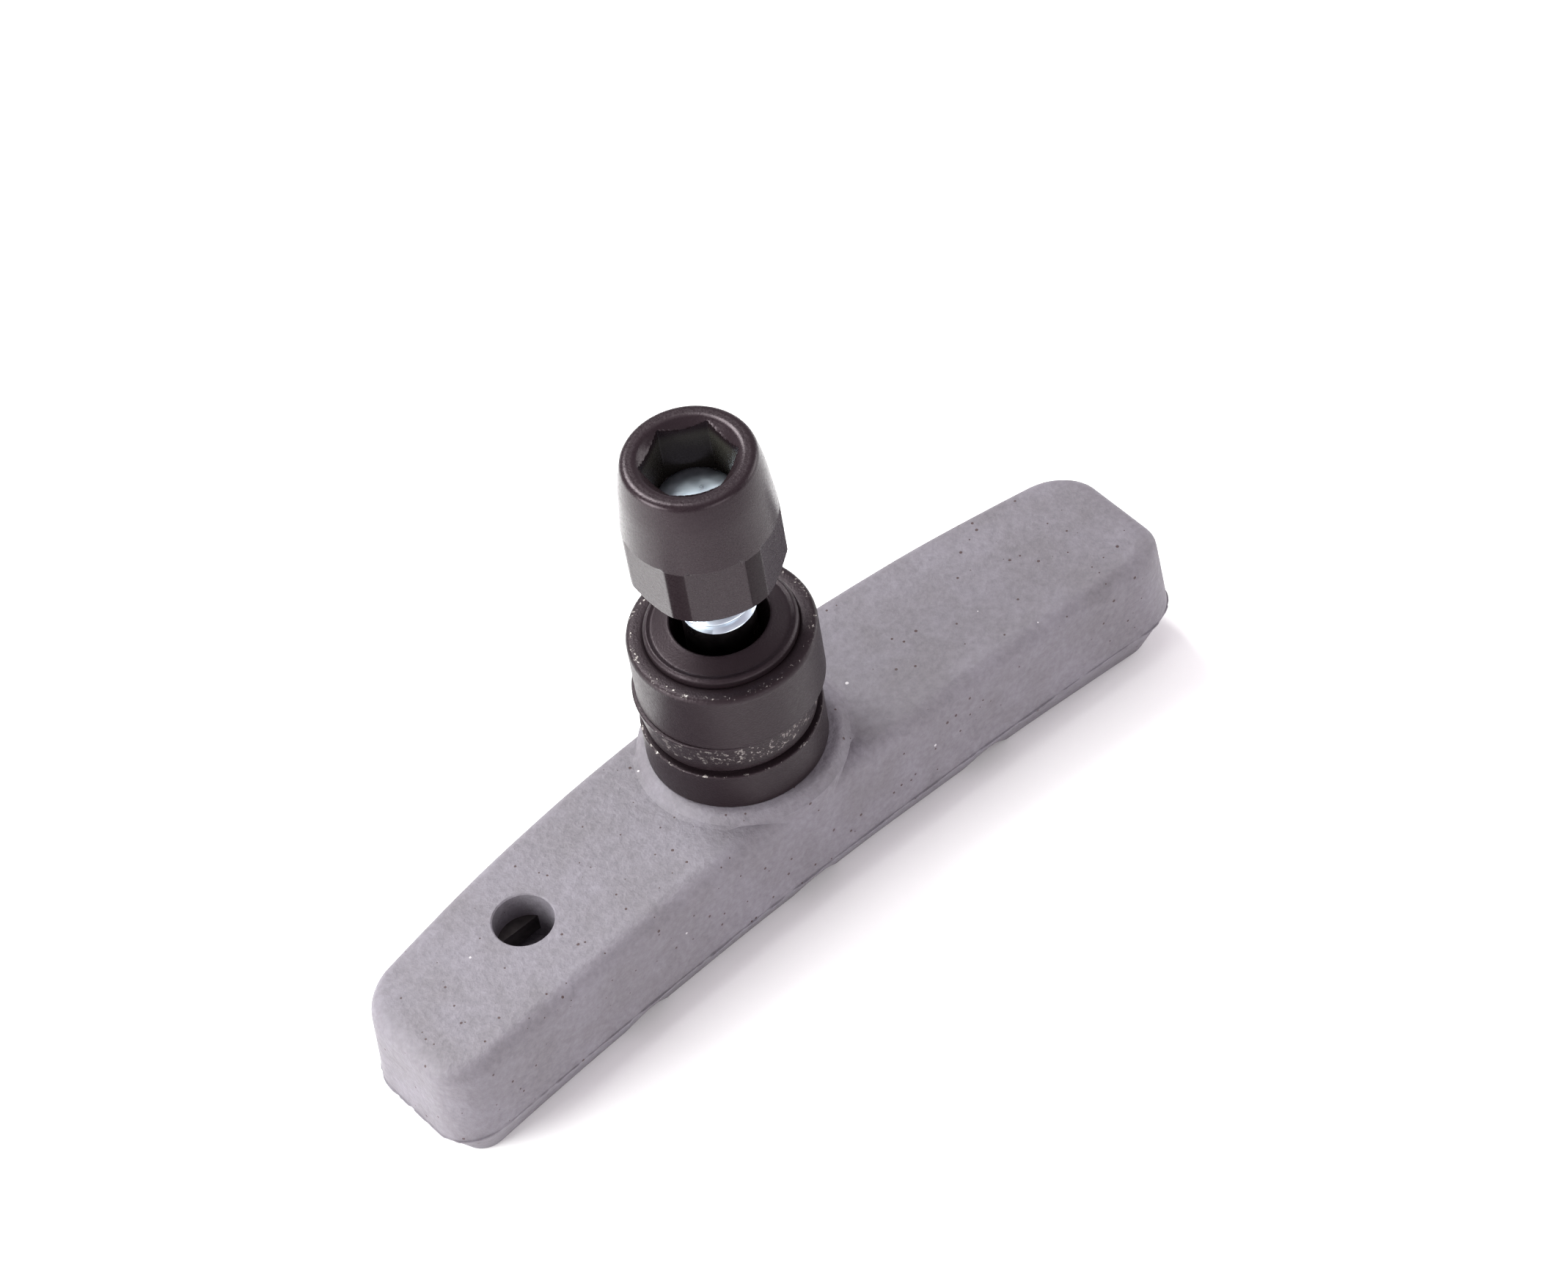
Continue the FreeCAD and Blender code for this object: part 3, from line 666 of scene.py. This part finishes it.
def buildStud():
    bm = bmesh.new()
    low = stud["low"] - stud["runIn"]
    pitch = stud["pitch"]
    outline = [  # one turn of the thread, heights in pitches
        (stud["root"], 0.0), (stud["root"], 0.1),
        (stud["crestEdge"], 0.42), (stud["crest"], 0.46),
        (stud["crest"], 0.54), (stud["crestEdge"], 0.58),
        (stud["root"], 0.9), (stud["root"], 1.0)]
    ring = [bm.verts.new((r, 0, low + z * pitch)) for r, z in outline]
    for a, b in zip(ring, ring[1:]):
        bm.edges.new((a, b))
    turns = int((stud["top"] - low) / pitch) + 1
    bmesh.ops.spin(bm, geom=bm.verts[:] + bm.edges[:], cent=(0, 0, 0), axis=(0, 0, 1),
                   dvec=(0, 0, pitch / stud["threadSteps"]), angle=math.tau * turns,
                   steps=turns * stud["threadSteps"], use_merge=False, use_duplicate=False)
    bmesh.ops.remove_doubles(bm, verts=bm.verts[:], dist=0.002)
    tipStart = stud["top"] - stud["dome"]
    cutLevel(bm, everything(bm), (0, 0, stud["low"]), (0, 0, 1), weld,
             clear_inner=True, clear_outer=False)
    cutLevel(bm, everything(bm), (0, 0, tipStart), (0, 0, 1), weld,
             clear_inner=False, clear_outer=True)
    for vert in bm.verts:
        taper = stud["tip"] + (tipStart - vert.co.z) * stud["tipTaper"]
        setRadius(vert, min(fromAxis(vert), taper))
    for height in (stud["low"], tipStart):
        rim = [e for e in bm.edges
               if e.is_boundary and all(abs(v.co.z - height) < 0.01 for v in e.verts)]
        bmesh.ops.holes_fill(bm, edges=rim, sides=4000)
    dome = bmesh.ops.create_uvsphere(bm, u_segments=stud["around"], v_segments=32,
                                     radius=1)["verts"]
    bmesh.ops.scale(bm, vec=(stud["tip"], stud["tip"], stud["dome"]), verts=dome)
    bmesh.ops.translate(bm, vec=(0, 0, tipStart), verts=dome)
    addRod(bm, stud["headRadius"], stud["headTop"] - stud["headLow"],
           (stud["headTop"] + stud["headLow"]) / 2)
    addRod(bm, stud["shank"], stud["low"] - stud["headTop"] + 0.02,
           (stud["low"] + stud["headTop"]) / 2)
    # painted shade: the plain shank below the thread is marked to be drawn dark
    layer = bm.verts.layers.float.new("shankPaintedShade")
    for vert in bm.verts:
        low = vert.co.z < stud["low"] + stud["shankShadeTop"]
        vert[layer] = 1.0 if low and fromAxis(vert) < stud["shank"] + 0.01 else 0.0
    moveAll(bm, 0, studY)
    return bm


studPiece = finishPiece(buildStud(), "threaded_stud", zinc, "stud", 50)
print("stud made, faces", len(studPiece.data.polygons))

# heights of the stack and what its washers share
bore = 3.6
seat = 10.0  # radius of the ball seats
cupTop = bossTop + 3.5
domeTop = cupTop + 3.4
tallTop = domeTop + 5.4
lipTop = tallTop + 1.2
lowEdge = (5.95, cupTop)  # radius and height of the edge of each seat
highEdge = (5.75, tallTop)


def ballHeight(r, edge):
    # height of a ball seat at a radius
    edgeR, edgeZ = edge
    return edgeZ + math.sqrt(seat ** 2 - edgeR ** 2) - math.sqrt(seat ** 2 - r ** 2)


def seatPoints(fromR, toR, edge, count=7):
    # points along a ball seat between two radii, without its ends
    radii = [fromR + (toR - fromR) * k / count for k in range(1, count)]
    return [(r, ballHeight(r, edge), 0) for r in radii]


washers = {
    "hollow_washer_low": {
        "node": "lower_cup_washer",
        "shift": (-0.3, 0.2),
        "profile": [
            (bore, bossTop, 0.1), (6.7, bossTop, 0.15), (6.7, cupTop, 0.14), (5.95, cupTop, 0.08),
            *seatPoints(5.95, bore, lowEdge), (bore, ballHeight(bore, lowEdge), 0)],
        "worn": [(6.7, cupTop, 0.5, 0.95), (5.95, cupTop, 0.25, 0.7), (6.7, bossTop, 0.25, 0.35)],
    },
    "domed_washer_low": {
        "node": "lower_dome_washer",
        "shift": (-0.3, 0.2),
        "profile": [
            (bore, ballHeight(bore, lowEdge), 0), *seatPoints(bore, 6.3, lowEdge),
            (6.3, ballHeight(6.3, lowEdge), 0.12), (6.85, domeTop, 0.16), (bore, domeTop, 0.1)],
        "worn": [(6.7, domeTop - 1.2, 2.6, 1.0), (6.3, ballHeight(6.3, lowEdge), 0.3, 0.8)],
    },
    "hollow_washer_tall": {
        "node": "tall_cup_washer",
        "shift": (0, 0),
        "profile": [
            (bore, domeTop, 0.1), (6.9, domeTop, 0.16), (6.9, tallTop, 0.38), (5.75, tallTop, 0.12),
            *seatPoints(5.75, bore, highEdge), (bore, ballHeight(bore, highEdge), 0)],
        "worn": [(6.9, domeTop, 0.35, 0.85), (6.5, tallTop, 0.8, 0.94),
                 (6.85, tallTop - 0.2, 0.4, 0.75)],
    },
    "domed_washer_high": {
        "node": "upper_dome_washer",
        "shift": (0, 0),
        "profile": [
            (bore, ballHeight(bore, highEdge), 0), *seatPoints(bore, 5.6, highEdge),
            (5.6, ballHeight(5.6, highEdge), 0.05), (5.6, tallTop + 0.45, 0.1),
            (5.35, tallTop + 0.65, 0.08), (5.0, tallTop + 0.55, 0.1),
            (bore + 0.1, lipTop, 0.1), (bore, tallTop + 1.1, 0)],
        "worn": [(5.4, tallTop + 0.63, 0.3, 0.75)],
    },
}
for name, washer in washers.items():
    shape = latheProfile(washer["profile"], 0.22)
    spinRound(shape, 180)
    markWorn(shape, washer["worn"])
    moveAll(shape, washer["shift"][0], washer["shift"][1] + studY)
    finishPiece(shape, name, blackWasher, washer["node"], 40)
print("washers made")

nut = {
    "foot": lipTop + 5.6,
    "height": 11.6,
    "radius": 5.15,  # below the top rounding
    "corner": 5.6,  # lower half, over the corners of the flats
    "chamfer": 0.5,
    "bore": 3.0,
    "rimRadius": 4.75,
    "rimHigh": 1.5,  # height of the rounding under the rim
    "mouthRadius": 3.75,
    "mouthDeep": 0.62,
    "flats": 5.175,  # from the axis to a flat
    "flatsTurn": 1.0,  # degrees from the pad's length to a flat's middle
    "flatsHeight": 5.4,
    "socket": 3.05,  # from the axis to a side
    "socketTurn": 58.5,
    "socketDepth": 5.2,
    "around": 360,
}


def sideRadius(vert, turn, away):
    # distance from the axis to a hexagon's side, in the direction of a vertex
    part = (math.degrees(math.atan2(vert.co.y, vert.co.x)) - turn) % 60
    part = part - 60 if part > 30 else part
    return away / math.cos(math.radians(part))


def buildNut():
    top = nut["foot"] + nut["height"]
    floor = top - nut["socketDepth"]
    flatsTop = nut["foot"] + nut["flatsHeight"]
    bm = latheProfile([
        (nut["bore"], nut["foot"], 0.15),
        (nut["corner"] - nut["chamfer"], nut["foot"], 0.06),
        (nut["corner"], nut["foot"] + nut["chamfer"], 0.1),
        (nut["corner"], flatsTop, 0.05),
        (nut["radius"], top - nut["rimHigh"], 1.2),
        (nut["rimRadius"], top, 0.42),
        (nut["mouthRadius"], top, 0.2),
        (nut["bore"], top - nut["mouthDeep"], 0),
        (nut["bore"], floor, 0),
    ], 0.16)
    spinRound(bm, nut["around"])
    for vert in bm.verts:
        r = fromAxis(vert)
        z = vert.co.z
        if r > 4.3 and z < flatsTop + 0.25:  # outside, and up to the flats' run-out
            flat = min(r, sideRadius(vert, nut["flatsTurn"], nut["flats"]))
            setRadius(vert, flat + (r - flat) * smooth(z, flatsTop - 0.05, flatsTop + 0.2))
        elif r < 4.0 and z > floor - 0.01:  # inside the socket
            setRadius(vert, max(r, sideRadius(vert, nut["socketTurn"], nut["socket"])))
    inner = bm.verts.layers.float.new("inner")
    cornerShadeMark = bm.verts.layers.float.new("turned")
    for vert in bm.verts:
        r = fromAxis(vert)
        if r < 3.7 and vert.co.z > floor - 0.01:
            # painted light: the socket's wall is marked paler deep down
            vert[inner] = 1 - smooth(vert.co.z, top - 1.6, top - 0.7)
        elif vert.co.z < flatsTop + 0.02:
            # painted shade: the turned corner strips between the flats are marked to reflect less
            gap = sideRadius(vert, nut["flatsTurn"], nut["flats"]) - r
            vert[cornerShadeMark] = 1.0 if gap > 0.01 and r > 5.3 else 0.0
    markWorn(bm, [(4.6, top, 0.45, 0.9), (nut["corner"], nut["foot"] + nut["chamfer"], 0.3, 0.4)])
    moveAll(bm, 0, studY)
    return bm


nutPiece = finishPiece(buildNut(), "barrel_nut_black", blackNut, "barrel_nut", 30)
print("nut made, faces", len(nutPiece.data.polygons))

studio = {
    "floor": "#f4f2f3",
    "floorRoughness": 0.9,
    "floorDrop": 0.00002,  # m, so that it doesn't touch the braking face
    "world": (1.0, 0.9, 0.98, 1.0),
    "worldLight": 0.7,
    "lampColour": (0.95, 1.0, 0.96),
}
# turn and rise in degrees from the picture's right-hand side, towards the back; away and size in m
lamps = {
    "key": {"turn": 128, "rise": 56, "away": 0.35, "size": 0.17, "watts": 1.8},
    "side": {"turn": 203, "rise": 22, "away": 0.25, "size": 0.16, "watts": 1.1},
    "fill": {"turn": 300, "rise": 10, "away": 0.7, "size": 0.5, "watts": 2.7},
    "rim": {"turn": 15, "rise": 12, "away": 0.7, "size": 0.5, "watts": 3.0},
    "top": {"turn": 90, "rise": 80, "away": 0.8, "size": 0.5, "watts": 0.8},
}
view = {
    "towards": 33.0,  # degrees from the pad's length to the picture's horizontal
    "elevation": 50.0,
    "roll": 10.3,  # clockwise turn of the camera
    "distance": 0.4,  # m from the lens to the boss
    "across": -3.032,  # mm from the boss to the picture's middle
    "down": 7.065,
    "lens": 126.62,  # mm
    "film": 36.0,  # mm wide
    "nearest": 0.01,  # m
}

floorBm = bmesh.new()
bmesh.ops.create_grid(floorBm, x_segments=1, y_segments=1, size=2.0)
floorPiece = looseObject(floorBm, "floor")
paper, tree, shader, place = newMaterial("white paper sweep")
shader.inputs["Base Color"].default_value = hexColour(studio["floor"])
shader.inputs["Roughness"].default_value = studio["floorRoughness"]
floorPiece.data.materials.append(paper)
floorPiece.location.z = -studio["floorDrop"]

world = bpy.data.worlds.new("studio")
world.use_nodes = True
world.node_tree.nodes["Background"].inputs["Color"].default_value = studio["world"]
world.node_tree.nodes["Background"].inputs["Strength"].default_value = studio["worldLight"]
bpy.context.scene.world = world
bpy.context.scene.view_settings.view_transform = "Standard"  # plain white stays white


def standAt(thing, place, turn):
    thing.location = place
    thing.rotation_mode = "QUATERNION"
    thing.rotation_quaternion = turn
    bpy.context.scene.collection.objects.link(thing)


aim = Vector((0, studY * mm, bossTop * mm))
for name, light in lamps.items():
    turn = math.radians(light["turn"] - view["towards"])
    rise = math.radians(light["rise"])
    lamp = bpy.data.lights.new(name, "AREA")
    lamp.shape = "DISK"
    lamp.size = light["size"]
    lamp.energy = light["watts"]
    lamp.color = studio["lampColour"]
    level = math.cos(rise)
    away = Vector((math.cos(turn) * level, math.sin(turn) * level, math.sin(rise)))
    standAt(bpy.data.objects.new(name, lamp), aim + away * light["away"],
            away.to_track_quat("Z", "Y"))

turned = math.radians(view["towards"])
dip = math.radians(view["elevation"])
level = math.cos(dip)
forward = Vector((math.sin(turned) * level, math.cos(turned) * level, -math.sin(dip)))
right = Vector((math.cos(turned), -math.sin(turned), 0))
right = Matrix.Rotation(math.radians(view["roll"]), 3, forward) @ right
up = right.cross(forward)
camData = bpy.data.cameras.new("camera")
camData.lens = view["lens"]
camData.sensor_width = view["film"]
camData.clip_start = view["nearest"]
camera = bpy.data.objects.new("camera", camData)
lens = aim - forward * view["distance"] - right * view["across"] * mm + up * view["down"] * mm
standAt(camera, lens, Matrix((right, up, -forward)).transposed().to_quaternion())
bpy.context.scene.camera = camera
print("camera at", [round(c, 4) for c in camera.location])
